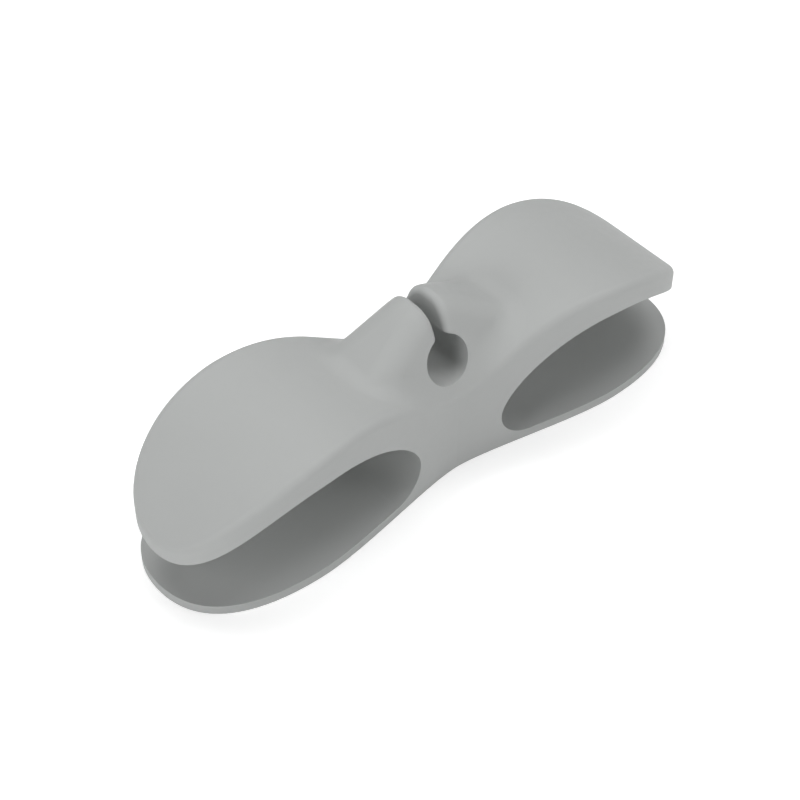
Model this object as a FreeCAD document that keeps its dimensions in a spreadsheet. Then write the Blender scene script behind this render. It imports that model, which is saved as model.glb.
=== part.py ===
"""Cable clip: one moulded piece that a short appliance lead is wound on.

A thin foot plate carries a solid waist.  Two arched paddles spring from the
waist and end in free tips, so the lead winds round the waist under them.  A
hump lies over the waist like a short ridge along the clip, with leaning faces
and a soft crest.  It has a bore across it, open at the top by a slit with
flared lips, and the loose end of the lead is pressed in there.

Frame: origin on the foot at the middle of the clip, X along the clip, Y across
it, Z up.  All sizes are in millimetres.
"""
import FreeCAD
import Part
import math
import os

import Sketcher

Vector = FreeCAD.Vector

# Name, value and meaning of each size that can be set by itself
SIZES = [
    ("half_length", 51.3, "middle to paddle tip"),
    ("waist_half", 9.5, "half width at the middle"),
    ("waist_pull", 6.5, "straight run of the plan curve at the waist"),
    ("belly_half", 13.9, "half width at the widest place"),
    ("belly_place", 30.6, "widest place, from the middle"),
    ("belly_inner_pull", 8.5, "straight run of the plan curve towards the waist"),
    ("belly_outer_pull", 10.6, "straight run of the plan curve towards the tip"),
    ("tip_pull", 11.0, "straight run of the plan curve across the tip"),
    ("crown_place", 24.8, "highest place of a paddle, from the middle"),
    ("crown_height", 24.8, "height of that place"),
    ("crown_inner_pull", 11.0, "level run of the top towards the hump"),
    ("crown_outer_pull", 11.75, "level run of the top towards the tip"),
    ("valley_height", 12.8, "where the two paddle tops would meet"),
    ("valley_run", 7.0, "first run of the top out of the valley"),
    ("valley_rise", 4.7, "climb over that run"),
    ("overrun", 2.0, "how far a blank runs past what trims it"),
    ("tip_top_height", 8.6, "top of the blank at its end"),
    ("tip_top_run", 6.1, "last run of the top towards its end"),
    ("tip_top_fall", 10.1, "fall over that run"),
    ("foot_thickness", 1.7, "plate under the winding space"),
    ("slot_place", 8.4, "inner end of the winding space, from the middle"),
    ("slot_level", 7.0, "height where that end stands upright"),
    ("slot_foot_radius", 5.4, "round from the foot plate into the waist"),
    ("slot_rise", 4.4, "upright run of the end under the paddle"),
    ("arch_place", 28.0, "highest place of the paddle's underside"),
    ("arch_height", 19.6, "height of that place"),
    ("arch_inner_pull", 11.0, "level run of the underside towards the waist"),
    ("arch_outer_pull", 10.0, "level run of the underside towards the tip"),
    ("tip_under_height", 7.45, "underside of the blank at its end"),
    ("tip_under_run", 9.0, "last run of the underside towards its end"),
    ("tip_under_fall", 7.3, "fall over that run"),
    ("hump_height", 30.3, "top of the hump"),
    ("hump_half", 6.6, "half thickness of the hump, level with the bore"),
    ("hump_lean", 0.36, "how far each face leans in for its height"),
    ("ridge_pull", 5.0, "level run of the ridge over the bore"),
    ("ridge_half", 18.0, "middle to the low end of the ridge, inside a paddle"),
    ("ridge_end_height", 22.0, "height of that end"),
    ("ridge_run", 7.6, "last run of the ridge towards its end"),
    ("ridge_fall", 1.3, "fall over that run"),
    ("crest_round", 4.0, "soft crest of the hump, front and back"),
    ("hump_blend", 5.0, "hollow from the hump into the paddles"),
    ("bore_height", 21.5, "middle of the lead's bore"),
    ("bore_radius", 4.0, "for a lead about eight millimetres thick"),
    ("slit_half", 0.85, "half the gap where the slit leaves the bore"),
    ("slit_lean", 0.02, "how far each slit wall leans out for its height"),
    ("slit_straight", 6.5, "straight height of each slit wall"),
    ("mouth_half", 1.9, "half width of the flared mouth"),
    ("mouth_flare", 0.8, "last run of the flare, outwards and upwards"),
    ("lip_round", 1.1, "soft edge of each lip, over the crest and down both faces"),
    ("edge_round", 1.3, "top edge all round the paddles"),
    ("blank_half", 22.0, "half width of the blank before it is trimmed"),
]

# Handle length of a curve that stands in for a quarter circle of radius one
QUARTER_ARC = 0.5523

# Largest crest round that the crest's width and the ridge's own bend leave room for
CREST_ROUND = (
    "min(Sizes.crest_round; "
    "0.95 * (Sizes.hump_half - Sizes.hump_lean * (Sizes.hump_height - Sizes.bore_height))"
    " / (sqrt(1 + Sizes.hump_lean ^ 2) - Sizes.hump_lean); "
    "1.35 * Sizes.ridge_pull ^ 2 / (Sizes.hump_height - Sizes.ridge_end_height - Sizes.ridge_fall))"
)


class Length:
    """A size together with the sheet expression that it comes from."""

    def __init__(self, value, text):
        self.value = value
        self.text = text

    @staticmethod
    def of(other):
        """Take a plain number as a length too."""
        return other if isinstance(other, Length) else Length(other, str(other))

    def __add__(self, other):
        other = Length.of(other)
        return Length(self.value + other.value, "(%s + %s)" % (self.text, other.text))

    def __sub__(self, other):
        other = Length.of(other)
        return Length(self.value - other.value, "(%s - %s)" % (self.text, other.text))

    def __mul__(self, other):
        other = Length.of(other)
        return Length(self.value * other.value, "(%s * %s)" % (self.text, other.text))

    def __neg__(self):
        return Length(-self.value, "(0 - %s)" % self.text)


ZERO = Length(0.0, "0")


def fill_sheet(document):
    """Put every size in the sheet and give back the named lengths."""
    sheet = document.addObject("Spreadsheet::Sheet", "Sizes")
    lengths = {}
    for row, (alias, value, meaning) in enumerate(SIZES, start=1):
        sheet.set("A%d" % row, meaning)
        sheet.set("B%d" % row, str(value))
        sheet.setAlias("B%d" % row, alias)
        lengths[alias] = Length(value, "Sizes.%s" % alias)
    document.recompute()
    return lengths


class Profile:
    """A sketch on an origin plane whose corners are all tied to the sheet."""

    def __init__(self, body, name, role):
        self.sketch = body.newObject("Sketcher::SketchObject", name)
        plane = [f for f in body.Origin.OriginFeatures if f.Role == role][0]
        self.sketch.AttachmentSupport = [(plane, "")]
        self.sketch.MapMode = "FlatFace"

    def bind(self, constraint, text):
        """Add one sized constraint and drive it from the sheet."""
        index = self.sketch.addConstraint(constraint)
        self.sketch.setExpression("Constraints[%d]" % index, text)

    def tie(self, geometry, corner, point):
        """Hold one corner at a place given by two lengths."""
        for kind, length in zip(("DistanceX", "DistanceY"), point):
            self.bind(Sketcher.Constraint(kind, geometry, corner, length.value), length.text)

    def join(self, first, second):
        """Let the second element start where the first one ends."""
        self.sketch.addConstraint(Sketcher.Constraint("Coincident", first, 2, second, 1))

    def closed(self, start, moves):
        """Draw a closed outline; one point is a line, three are a curve."""
        opening = None
        before = None
        corner = start
        for number, move in enumerate(moves):
            points = [corner] + move
            vectors = [Vector(x.value, y.value, 0) for x, y in points]
            if len(points) == 2:
                index = self.sketch.addGeometry(Part.LineSegment(*vectors), False)
                handles = [(index, 1), (index, 2)]
            else:
                curve = Part.BezierCurve()
                curve.setPoles(vectors)
                index = self.sketch.addGeometry(curve.toBSpline(), False)
                self.sketch.exposeInternalGeometry(index)
                handles = [(index + pole, 3) for pole in (1, 2, 3, 4)]
            if before is None:
                opening = index
                self.tie(*handles[0], points[0])
            else:
                self.join(before, index)
            last = number == len(moves) - 1
            for handle, point in list(zip(handles, points))[1:]:
                if not (last and point is points[-1]):
                    self.tie(*handle, point)
            before = index
            corner = points[-1]
        self.join(before, opening)

    def polygon(self, points):
        """Draw a closed outline of straight lines."""
        self.closed(points[0], [[point] for point in points[1:] + points[:1]])


def mirrored_points(points, along, across):
    """The same points on another quarter of the clip."""
    result = []
    for x, y in points:
        result.append((x if along > 0 else -x, y if across > 0 else -y))
    return result


def middle_of(edge):
    """The point halfway along an edge."""
    return edge.valueAt((edge.FirstParameter + edge.LastParameter) / 2)


def kinds_beside(shape, edge):
    """The kinds of surface that meet at an edge."""
    return [face.Surface.TypeId for face in shape.ancestorsOfType(edge, Part.Face)]


def edges_where(shape, wanted):
    """Names of the edges that a test picks out."""
    names = []
    for number, edge in enumerate(shape.Edges, start=1):
        if wanted(edge):
            names.append("Edge%d" % number)
    return names


def add_pad(body, name, profile, length_text):
    """Pad a profile by the same amount to both sides of its plane."""
    pad = body.newObject("PartDesign::Pad", name)
    pad.Profile = profile.sketch
    pad.SideType = "Symmetric"
    pad.setExpression("Length", length_text)
    body.Document.recompute()
    return pad


def add_pocket(body, name, profile, side="Symmetric", backwards=False):
    """Cut a profile right through the body and see that it took something."""
    volume = body.Shape.Volume
    pocket = body.newObject("PartDesign::Pocket", name)
    pocket.Profile = profile.sketch
    pocket.Type = "ThroughAll"
    pocket.SideType = side
    pocket.Reversed = backwards
    body.Document.recompute()
    if pocket.Shape.Volume >= volume:
        raise RuntimeError("%s cuts nothing" % name)
    return pocket


def add_fillet(body, name, base, wanted, radius_text):
    """Round the edges of the last feature that a test picks out."""
    fillet = body.newObject("PartDesign::Fillet", name)
    fillet.Base = (base, edges_where(base.Shape, wanted))
    fillet.setExpression("Radius", radius_text)
    body.Document.recompute()
    return fillet


def add_hump(body, size):
    """Model the hump: a bell-shaped ridge between two leaning faces."""
    root = size["valley_height"] * 0.75
    flank_root = size["hump_half"] + size["hump_lean"] * (size["bore_height"] - root)
    low_end = (size["ridge_half"], size["ridge_end_height"])
    slope = (size["ridge_half"] - size["ridge_run"], size["ridge_end_height"] + size["ridge_fall"])
    shoulder = (size["ridge_pull"], size["hump_height"])
    summit = (ZERO, size["hump_height"])
    bell = Profile(body, "RidgeForm", "XZ_Plane")
    bell.closed((-size["ridge_half"], root), [
        [(size["ridge_half"], root)],
        [low_end],
        [slope, shoulder, summit],
        mirrored_points([shoulder, slope, low_end], -1, 1),
        [(-size["ridge_half"], root)],
    ])
    hump = add_pad(body, "Hump", bell, "2 * (%s + Sizes.overrun)" % flank_root.text)

    low = root - size["overrun"]
    high = size["hump_height"] + size["overrun"]
    outside = flank_root + size["overrun"] * 2
    flanks = Profile(body, "HumpFlanks", "YZ_Plane")
    face = [
        (size["hump_half"] + size["hump_lean"] * (size["bore_height"] - low), low),
        (outside, low),
        (outside, high),
        (size["hump_half"] - size["hump_lean"] * (high - size["bore_height"]), high),
    ]
    for across in (-1, 1):
        flanks.polygon(mirrored_points(face, across, 1))
    leaning = add_pocket(body, "HumpSides", flanks)

    def on_crest(edge):
        """True where the bell's curved top meets a leaning face."""
        kinds = kinds_beside(leaning.Shape, edge)
        curved = "Part::GeomSurfaceOfExtrusion" in kinds and "Part::GeomPlane" in kinds
        along = edge.BoundBox.XLength > edge.BoundBox.YLength
        return curved and along

    return add_fillet(body, "HumpCrest", leaning, on_crest, CREST_ROUND)


def add_blank(body, size, end):
    """Pad the side form of foot, waist and paddles across the full width."""
    crown = (size["crown_place"], size["crown_height"])
    valley = (ZERO, size["valley_height"])
    outer_top = [
        (end - size["tip_top_run"], size["tip_top_height"] + size["tip_top_fall"]),
        (size["crown_place"] + size["crown_outer_pull"], size["crown_height"]),
        crown,
    ]
    inner_top = [
        (size["crown_place"] - size["crown_inner_pull"], size["crown_height"]),
        (size["valley_run"], size["valley_height"] + size["valley_rise"]),
        valley,
    ]
    left_inner = mirrored_points([inner_top[1], inner_top[0], crown], -1, 1)
    left_outer = mirrored_points([outer_top[1], outer_top[0], (end, size["tip_top_height"])], -1, 1)
    side = Profile(body, "SideForm", "XZ_Plane")
    side.closed((-end, ZERO), [
        [(end, ZERO)],
        [(end, size["tip_top_height"])],
        outer_top,
        inner_top,
        left_inner,
        left_outer,
        [(-end, ZERO)],
    ])
    return add_pad(body, "Blank", side, "2 * Sizes.blank_half")


def blend_hump(body, size, base):
    """Round the foot of the hump and the valley under the bore in one hollow."""
    full_width = 2 * size["blank_half"].value - 0.01

    def at_foot(edge):
        """True round the hump's foot and along the crease of the valley."""
        tops = 0
        for face in base.Shape.ancestorsOfType(edge, Part.Face):
            curved = face.Surface.TypeId == "Part::GeomSurfaceOfExtrusion"
            if curved and face.BoundBox.YLength > full_width:
                tops += 1
        middle = middle_of(edge)
        in_valley = tops == 2 and abs(middle.x) < 0.01
        inside = abs(middle.y) < size["blank_half"].value - 0.01
        round_hump = tops == 1 and inside and abs(middle.x) < size["crown_place"].value
        return in_valley or round_hump

    return add_fillet(body, "HumpBlend", base, at_foot, "Sizes.hump_blend")


def trim_plan(body, size, end):
    """Trim everything outside the plan outline of the clip."""
    belly = (size["belly_place"], size["belly_half"])
    tip = (size["half_length"], ZERO)
    waist = (ZERO, size["waist_half"])
    outward = [
        (size["waist_pull"], size["waist_half"]),
        (size["belly_place"] - size["belly_inner_pull"], size["belly_half"]),
        belly,
        (size["belly_place"] + size["belly_outer_pull"], size["belly_half"]),
        (size["half_length"], size["tip_pull"]),
        tip,
    ]
    inward = [outward[4], outward[3], belly, outward[1], outward[0], waist]

    def halves(points, along, across):
        path = mirrored_points(points, along, across)
        return [path[:3], path[3:]]

    reach = end + size["overrun"]
    width = size["blank_half"] + size["overrun"]
    plan = Profile(body, "PlanOutline", "XY_Plane")
    plan.polygon([(-reach, -width), (reach, -width), (reach, width), (-reach, width)])
    plan.closed(tip, halves(inward, 1, 1) + halves(outward, -1, 1)
                + halves(inward, -1, -1) + halves(outward, 1, -1))
    return add_pocket(body, "Trim", plan, "One side", True)


def cut_winding_space(body, size, end, word, along):
    """Cut the space under one paddle right across the clip."""
    floor = size["foot_thickness"]
    bend = size["slot_foot_radius"]
    grip = bend * QUARTER_ARC
    arch = (size["arch_place"], size["arch_height"])
    moves = [
        [(size["slot_place"] + bend, floor)],
        [(size["slot_place"] + bend - grip, floor),
         (size["slot_place"], size["slot_level"] - grip),
         (size["slot_place"], size["slot_level"])],
        [(size["slot_place"], size["slot_level"] + size["slot_rise"]),
         (size["arch_place"] - size["arch_inner_pull"], size["arch_height"]), arch],
        [(size["arch_place"] + size["arch_outer_pull"], size["arch_height"]),
         (end - size["tip_under_run"], size["tip_under_height"] + size["tip_under_fall"]),
         (end, size["tip_under_height"])],
        [(end, floor)],
    ]
    space = Profile(body, word + "Space", "XZ_Plane")
    space.closed(mirrored_points([(end, floor)], along, 1)[0],
                 [mirrored_points(move, along, 1) for move in moves])
    return add_pocket(body, word + "Slot", space)


def cut_bore(body, size):
    """Cut the bore for the lead right across the hump."""
    ring = Profile(body, "BoreRing", "XZ_Plane")
    middle = Vector(0, size["bore_height"].value, 0)
    circle = Part.Circle(middle, Vector(0, 0, 1), size["bore_radius"].value)
    ring.sketch.addGeometry(circle, False)
    ring.tie(0, 3, (ZERO, size["bore_height"]))
    ring.bind(Sketcher.Constraint("Radius", 0, size["bore_radius"].value), "Sizes.bore_radius")
    return add_pocket(body, "Bore", ring)


def cut_slit(body, size):
    """Cut the slit from the middle of the bore up through the crest."""
    root = size["bore_height"]
    low = size["slit_half"] - size["bore_radius"] * size["slit_lean"]
    rim = size["hump_height"] + size["mouth_flare"]
    right_wall = [
        (low + size["slit_straight"] * size["slit_lean"], root + size["slit_straight"]),
        (size["mouth_half"] - size["mouth_flare"], rim - size["mouth_flare"]),
        (size["mouth_half"], rim),
    ]
    left_wall = mirrored_points([right_wall[1], right_wall[0], (low, root)], -1, 1)
    gap = Profile(body, "SlitGap", "XZ_Plane")
    gap.closed((-low, root), [[(low, root)], right_wall, [(-size["mouth_half"], rim)], left_wall])
    return add_pocket(body, "Slit", gap)


def round_lips(body, size, base):
    """Soften the edge of each lip, before the bore cuts its sharp rim."""
    flat = {"Part::GeomPlane", "Part::GeomSurfaceOfExtrusion"}

    def on_lip(edge):
        """True where a slit wall runs out through the soft crest."""
        kinds = kinds_beside(base.Shape, edge)
        wall = "Part::GeomSurfaceOfExtrusion" in kinds and not set(kinds) <= flat
        middle = middle_of(edge)
        above = middle.z > size["bore_height"].value + size["bore_radius"].value
        return wall and above and abs(middle.x) < size["mouth_half"].value

    return add_fillet(body, "LipRound", base, on_lip, "Sizes.lip_round")


def round_rim(body, size, base):
    """Round the top edge all the way round the paddles and the waist."""

    def on_rim(edge):
        """True where the outer wall meets the top of the clip."""
        middle = middle_of(edge)
        from_bore = math.hypot(middle.x, middle.z - size["bore_height"].value)
        in_slit = abs(middle.x) < size["mouth_half"].value and middle.z > size["bore_height"].value
        if middle.z < size["slot_level"].value or from_bore < 1.1 * size["bore_radius"].value or in_slit:
            return False
        slopes = []
        for face in base.Shape.ancestorsOfType(edge, Part.Face):
            slopes.append(face.normalAt(*face.Surface.parameter(middle)).z)
        upright = min(abs(slope) for slope in slopes) < 1e-4
        return upright and max(slopes) > 0.05 and abs(middle.y) > 0.01

    return add_fillet(body, "RimRound", base, on_rim, "Sizes.edge_round")


def build_clip(document, size):
    """Model the whole clip as one body."""
    body = document.addObject("PartDesign::Body", "Clip")
    body.Label = "clip_body"
    end = size["half_length"] + size["overrun"]
    add_hump(body, size)
    blank = add_blank(body, size, end)
    blend_hump(body, size, blank)
    trim_plan(body, size, end)
    cut_winding_space(body, size, end, "Left", -1)
    cut_winding_space(body, size, end, "Right", 1)
    slit = cut_slit(body, size)
    round_lips(body, size, slit)
    bore = cut_bore(body, size)
    round_rim(body, size, bore)
    return body


def check(document, body):
    """Stop if any object failed or the piece is not one sound solid."""
    for item in document.Objects:
        if "Invalid" in item.State or "Error" in item.State:
            raise RuntimeError("%s did not build: %s" % (item.Name, item.State))
    shape = body.Shape
    if shape.isNull() or not shape.isValid() or len(shape.Solids) != 1:
        raise RuntimeError("%s is not one sound solid" % body.Label)


def main():
    """Build the document, check every object and write the piece."""
    document = FreeCAD.newDocument("CableClip")
    size = fill_sheet(document)
    body = build_clip(document, size)
    check(document, body)
    os.makedirs("parts", exist_ok=True)
    body.Shape.exportStep("parts/%s.step" % body.Label)
    box = body.Shape.BoundBox
    print("%s %.1f x %.1f x %.1f mm, %.2f cm3" % (
        body.Label, box.XLength, box.YLength, box.ZLength, body.Shape.Volume / 1000))


main()
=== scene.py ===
"""Cable clip in matt grey silicone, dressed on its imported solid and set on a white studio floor.

The clip is one soft moulding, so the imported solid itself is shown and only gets
its finish here.  Around it stand a sheet of white paper, soft boxes and a camera.
All lengths are in metres unless a name ends in _mm.
"""

import logging
import math
from dataclasses import dataclass, field
from enum import Enum
from typing import Any

import bpy
from mathutils import Matrix, Vector


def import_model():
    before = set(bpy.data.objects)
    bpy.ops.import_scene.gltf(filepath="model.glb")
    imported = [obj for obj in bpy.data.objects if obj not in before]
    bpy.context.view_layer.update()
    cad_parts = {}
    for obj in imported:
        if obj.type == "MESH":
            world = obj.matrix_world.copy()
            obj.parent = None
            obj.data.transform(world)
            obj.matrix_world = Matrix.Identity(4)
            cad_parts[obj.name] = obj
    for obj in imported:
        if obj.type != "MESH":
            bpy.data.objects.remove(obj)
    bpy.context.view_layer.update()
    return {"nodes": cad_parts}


LOG = logging.getLogger("cable_clip")
MM = 0.001
WHITE = "FFFFFF"

# Most of a noise texture's values lie between these two
NOISE_LOW = 0.3
NOISE_HIGH = 0.7

# A mix node has sockets of one name for several kinds of value, so those for colour go by their place
MIX_FIRST_COLOUR = 6
MIX_SECOND_COLOUR = 7
MIX_RESULT_COLOUR = 2

Colour = tuple[float, float, float, float]
Socket = str | int


class Bearing(Enum):
    """Side of the clip that a soft box stands on, in degrees from the back, turning to the right."""

    BACK = 0.0
    BACK_RIGHT = 45.0
    RIGHT = 90.0
    FRONT_RIGHT = 135.0
    FRONT = 180.0
    LEFT = 270.0


class Level(Enum):
    """Height of a soft box as the clip sees it, in degrees above the floor."""

    LOW = 12.0
    MIDDLE = 38.0
    HIGH = 64.0


def linear_from_hex(text: str) -> Colour:
    """Turn a display colour into the linear one that shaders take.

    Args:
        text: six hex digits, two each for red, green and blue.

    Returns:
        Linear red, green and blue with a full alpha.
    """
    channels = []
    for start in (0, 2, 4):
        share = int(text[start:start + 2], 16) / 255
        channels.append(share / 12.92 if share <= 0.04045 else ((share + 0.055) / 1.055) ** 2.4)
    return (channels[0], channels[1], channels[2], 1.0)


def add_node(
    tree: bpy.types.NodeTree,
    kind: str,
    settings: dict[str, Any] | None = None,
    values: dict[Socket, Any] | None = None,
    links: dict[Socket, bpy.types.NodeSocket] | None = None,
) -> bpy.types.Node:
    """Add one node, set it up and link its inputs.

    Args:
        tree: node tree that the node joins.
        kind: Blender's type name of the node.
        settings: properties of the node itself.
        values: fixed values by the name or place of the input.
        links: output sockets by the name or place of the input that each one feeds.

    Returns:
        The new node.
    """
    node = tree.nodes.new(kind)
    for name, value in (settings or {}).items():
        setattr(node, name, value)
    for name, value in (values or {}).items():
        node.inputs[name].default_value = value
    for name, socket in (links or {}).items():
        tree.links.new(socket, node.inputs[name])
    return node


def new_material(name: str) -> tuple[bpy.types.Material, bpy.types.NodeTree]:
    """Make an empty node material.

    Args:
        name: the finish, in plain words joined by underscores.

    Returns:
        The material and its node tree, with no nodes in it.
    """
    material = bpy.data.materials.new(name)
    material.use_nodes = True
    material.node_tree.nodes.clear()
    return material, material.node_tree


@dataclass(frozen=True)
class NoiseLayer:
    """One layer of procedural noise, by the real size of its blotches or grains."""

    feature_mm: float
    detail: float = 2.0
    roughness: float = 0.5

    def output(self, tree: bpy.types.NodeTree) -> bpy.types.NodeSocket:
        """Add the noise to a tree, fixed to the object that it covers.

        Args:
            tree: node tree of the material.

        Returns:
            The socket with the noise value, around a half.
        """
        place = add_node(tree, "ShaderNodeTexCoord")
        noise = add_node(
            tree,
            "ShaderNodeTexNoise",
            values={
                "Scale": 1 / (self.feature_mm * MM),
                "Detail": self.detail,
                "Roughness": self.roughness,
            },
            links={"Vector": place.outputs["Object"]},
        )
        return noise.outputs["Fac"]


@dataclass(frozen=True)
class MouldedSilicone:
    """Pigmented silicone rubber as it leaves a spark-eroded mould, matt and dry to the touch."""

    tone: str = "ADAFAE"
    pale_tone: str = "B1B3B2"
    dull: float = 0.50
    duller: float = 0.62
    ior: float = 1.41
    specular: float = 0.4
    flow: NoiseLayer = NoiseLayer(17.0, 2.0, 0.45)
    peel: NoiseLayer = NoiseLayer(1.6, 2.0, 0.5)
    grain: NoiseLayer = NoiseLayer(0.24, 3.0, 0.6)
    peel_depth_mm: float = 0.006
    grain_depth_mm: float = 0.004

    def build(self) -> bpy.types.Material:
        """Make the material.

        Returns:
            Silicone with a slow drift of tone, an uneven dullness and two depths of texture.
        """
        material, tree = new_material("silicone_rubber_moulded_matt")
        flow = self.flow.output(tree)
        peel = self.peel.output(tree)
        grain = self.grain.output(tree)

        # Pigment that is not perfectly even, so the broad paddles are not one flat grey
        tone = add_node(
            tree,
            "ShaderNodeMix",
            settings={"data_type": "RGBA"},
            values={
                MIX_FIRST_COLOUR: linear_from_hex(self.tone),
                MIX_SECOND_COLOUR: linear_from_hex(self.pale_tone),
            },
            links={"Factor": flow},
        )

        # Sheen that breaks up with the mould's texture, so highlights look soft and dry
        dullness = add_node(
            tree,
            "ShaderNodeMapRange",
            values={
                "From Min": NOISE_LOW,
                "From Max": NOISE_HIGH,
                "To Min": self.dull,
                "To Max": self.duller,
            },
            links={"Value": peel},
        )

        # Shallow waves of the mould's face, then the fine grain that eroding leaves
        waves = add_node(
            tree,
            "ShaderNodeBump",
            values={"Strength": 1.0, "Distance": self.peel_depth_mm * MM},
            links={"Height": peel},
        )
        skin = add_node(
            tree,
            "ShaderNodeBump",
            values={"Strength": 1.0, "Distance": self.grain_depth_mm * MM},
            links={"Height": grain, "Normal": waves.outputs["Normal"]},
        )
        surface = add_node(
            tree,
            "ShaderNodeBsdfPrincipled",
            values={"IOR": self.ior, "Specular IOR Level": self.specular},
            links={
                "Base Color": tone.outputs[MIX_RESULT_COLOUR],
                "Roughness": dullness.outputs["Result"],
                "Normal": skin.outputs["Normal"],
            },
        )
        add_node(tree, "ShaderNodeOutputMaterial", links={"Surface": surface.outputs["BSDF"]})
        return material


@dataclass(frozen=True)
class StudioPaper:
    """White background paper, so bright in the picture that only the clip's close shadow shows on it."""

    tone: str = "F2F2F2"
    fibre: NoiseLayer = NoiseLayer(0.8, 2.0, 0.5)
    fibre_strength: float = 0.5
    fibre_depth_mm: float = 0.01
    near: float = 0.25
    far: float = 1.0
    near_glow: float = 0.40
    far_glow: float = 1.0
    mirrored_glow: float = 0.2

    def build(self) -> bpy.types.Material:
        """Make the material.

        Returns:
            Diffuse paper with a glow that only the picture and reflections see.
        """
        material, tree = new_material("paper_uncoated_white")

        # Fibres that keep the sheet from looking like glass
        fibre = add_node(
            tree,
            "ShaderNodeBump",
            values={"Strength": self.fibre_strength, "Distance": self.fibre_depth_mm * MM},
            links={"Height": self.fibre.output(tree)},
        )
        paper = add_node(
            tree,
            "ShaderNodeBsdfDiffuse",
            values={"Color": linear_from_hex(self.tone)},
            links={"Normal": fibre.outputs["Normal"]},
        )

        # Glow that grows away from the clip, so the sheet stays white where the soft boxes' light fades
        place = add_node(tree, "ShaderNodeTexCoord")
        away = add_node(
            tree,
            "ShaderNodeVectorMath",
            settings={"operation": "LENGTH"},
            links={"Vector": place.outputs["Object"]},
        )
        glow = add_node(
            tree,
            "ShaderNodeMapRange",
            values={
                "From Min": self.near,
                "From Max": self.far,
                "To Min": self.near_glow,
                "To Max": self.far_glow,
            },
            links={"Value": away.outputs["Value"]},
        )

        # The picture sees the whole glow and reflections a little of it, so both meet a white sheet,
        # while the light that it scatters on to the clip stays that of plain paper
        rays = add_node(tree, "ShaderNodeLightPath")
        pictured = add_node(
            tree,
            "ShaderNodeMath",
            settings={"operation": "MULTIPLY"},
            links={0: rays.outputs["Is Camera Ray"], 1: glow.outputs["Result"]},
        )
        seen = add_node(
            tree,
            "ShaderNodeMath",
            settings={"operation": "MULTIPLY_ADD"},
            values={1: self.mirrored_glow},
            links={0: rays.outputs["Is Glossy Ray"], 2: pictured.outputs[0]},
        )
        white = add_node(
            tree,
            "ShaderNodeEmission",
            values={"Color": linear_from_hex(WHITE)},
            links={"Strength": seen.outputs[0]},
        )
        both = add_node(
            tree,
            "ShaderNodeAddShader",
            links={0: paper.outputs["BSDF"], 1: white.outputs["Emission"]},
        )
        add_node(tree, "ShaderNodeOutputMaterial", links={"Surface": both.outputs["Shader"]})
        return material


@dataclass
class ClipMoulding:
    """The clip itself: foot plate, waist, two paddles and slotted hump in one moulding."""

    node_name: str = "clip_body"
    finish: MouldedSilicone = field(default_factory=MouldedSilicone)

    def dress(self, nodes: dict[str, bpy.types.Object]) -> bpy.types.Object:
        """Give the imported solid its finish.

        Args:
            nodes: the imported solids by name.

        Returns:
            The dressed solid.
        """
        moulding = nodes[self.node_name]
        material = self.finish.build()
        if not moulding.material_slots:
            moulding.data.materials.append(material)
        for slot in moulding.material_slots:
            slot.material = material
        return moulding


@dataclass(frozen=True)
class SoftBox:
    """A square soft box on a stand that faces the clip."""

    name: str
    bearing: Bearing
    level: Level
    share: float
    distance: float = 1.4
    width: float = 0.7

    def build(self) -> bpy.types.Object:
        """Make the lamp.

        Returns:
            The lamp's object.  Its share is the brightness that it alone would give
            plain white paper held square to it.
        """
        bearing = math.radians(self.bearing.value)
        height = math.radians(self.level.value)
        place = self.distance * Vector((
            math.sin(bearing) * math.cos(height),
            math.cos(bearing) * math.cos(height),
            math.sin(height),
        ))
        light = bpy.data.lights.new(self.name, "AREA")
        light.shape = "SQUARE"
        light.size = self.width
        light.energy = self.share * (math.pi * self.distance) ** 2
        lamp = bpy.data.objects.new(self.name, light)
        lamp.location = place
        lamp.rotation_euler = place.to_track_quat("Z", "Y").to_euler()
        bpy.context.collection.objects.link(lamp)
        return lamp


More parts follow.
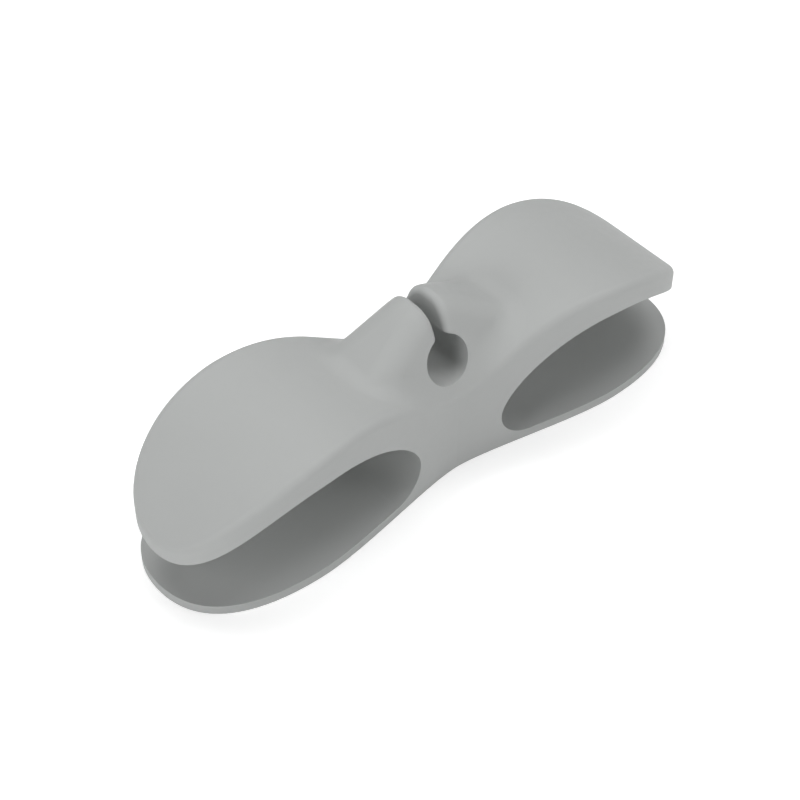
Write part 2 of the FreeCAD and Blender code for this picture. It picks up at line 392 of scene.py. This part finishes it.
@dataclass
class Studio:
    """White paper, a little even room light and soft boxes all round the clip."""

    paper_side: float = 2.6
    paper: StudioPaper = field(default_factory=StudioPaper)
    room_light: float = 0.06
    seen_room_light: float = 1.0
    lamps: tuple[SoftBox, ...] = (
        SoftBox("soft_box_front_low", Bearing.FRONT, Level.LOW, 0.296),
        SoftBox("soft_box_front_right", Bearing.FRONT_RIGHT, Level.MIDDLE, 0.186),
        SoftBox("soft_box_left_low", Bearing.LEFT, Level.LOW, 0.347),
        SoftBox("soft_box_left", Bearing.LEFT, Level.MIDDLE, 0.199),
        SoftBox("soft_box_over_the_back", Bearing.BACK, Level.HIGH, 0.343),
        SoftBox("soft_box_over_the_right", Bearing.RIGHT, Level.HIGH, 0.282),
        SoftBox("soft_box_back_right", Bearing.BACK_RIGHT, Level.MIDDLE, 0.120),
    )

    def lay_paper(self) -> bpy.types.Object:
        """Lay the paper that the clip stands on.

        Returns:
            The paper, marked as part of the studio.
        """
        half = self.paper_side / 2
        mesh = bpy.data.meshes.new("studio_paper")
        corners = [(-half, -half, 0.0), (half, -half, 0.0), (half, half, 0.0), (-half, half, 0.0)]
        mesh.from_pydata(corners, [], [(0, 1, 2, 3)])
        mesh.materials.append(self.paper.build())
        sheet = bpy.data.objects.new("studio_paper", mesh)
        bpy.context.collection.objects.link(sheet)
        return sheet

    def light_room(self) -> None:
        """Fill the room with faint even light that the picture shows as white."""
        world = bpy.data.worlds.new("studio_room")
        world.use_nodes = True
        tree = world.node_tree
        tree.nodes.clear()
        rays = add_node(tree, "ShaderNodeLightPath")
        strength = add_node(
            tree,
            "ShaderNodeMapRange",
            values={"To Min": self.room_light, "To Max": self.seen_room_light},
            links={"Value": rays.outputs["Is Camera Ray"]},
        )
        light = add_node(
            tree,
            "ShaderNodeBackground",
            values={"Color": linear_from_hex(WHITE)},
            links={"Strength": strength.outputs["Result"]},
        )
        add_node(tree, "ShaderNodeOutputWorld", links={"Surface": light.outputs["Background"]})
        bpy.context.scene.world = world

    def build(self) -> None:
        """Set up the paper, the room light and every soft box."""
        sheet = self.lay_paper()
        LOG.info("laid %s, %.1f m square", sheet.name, self.paper_side)
        self.light_room()
        for lamp in self.lamps:
            LOG.info("set %s", lamp.build().name)


@dataclass
class Viewpoint:
    """A camera that looks at the clip from above its left front."""

    bearing_deg: float = 39.912
    height_deg: float = 44.676
    roll_deg: float = 0.388
    distance: float = 0.30408
    lens_mm: float = 83.87
    sensor_mm: float = 36.0
    nearest_seen: float = 0.01
    target: tuple[float, float, float] = (0.000197, 0.004953, 0.003970)

    def build(self) -> bpy.types.Object:
        """Make the camera and let the scene use it.

        Returns:
            The camera's object.
        """
        bearing = math.radians(self.bearing_deg)
        height = math.radians(self.height_deg)
        ahead = Vector((
            math.sin(bearing) * math.cos(height),
            math.cos(bearing) * math.cos(height),
            -math.sin(height),
        ))
        right = Vector((math.cos(bearing), -math.sin(bearing), 0.0))
        upward = right.cross(ahead)
        turn = Matrix((right, upward, -ahead)).transposed()
        turn = turn @ Matrix.Rotation(math.radians(self.roll_deg), 3, "Z")
        stand = Vector(self.target) - ahead * self.distance
        lens = bpy.data.cameras.new("view_from_left_front")
        lens.lens = self.lens_mm
        lens.sensor_width = self.sensor_mm
        lens.clip_start = self.nearest_seen
        camera = bpy.data.objects.new("view_from_left_front", lens)
        camera.matrix_world = Matrix.Translation(stand) @ turn.to_4x4()
        bpy.context.collection.objects.link(camera)
        bpy.context.scene.camera = camera
        return camera


def main() -> None:
    """Dress the clip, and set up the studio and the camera."""
    logging.basicConfig(level=logging.INFO, format="%(message)s")
    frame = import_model()
    bpy.context.scene.view_settings.view_transform = "Standard"

    moulding = ClipMoulding().dress(frame["nodes"])
    LOG.info("dressed %s with %s", moulding.name, moulding.material_slots[0].material.name)
    Studio().build()
    camera = Viewpoint().build()
    LOG.info("camera %s stands at %s", camera.name, tuple(round(v, 4) for v in camera.location))


if __name__ == "__main__":
    main()
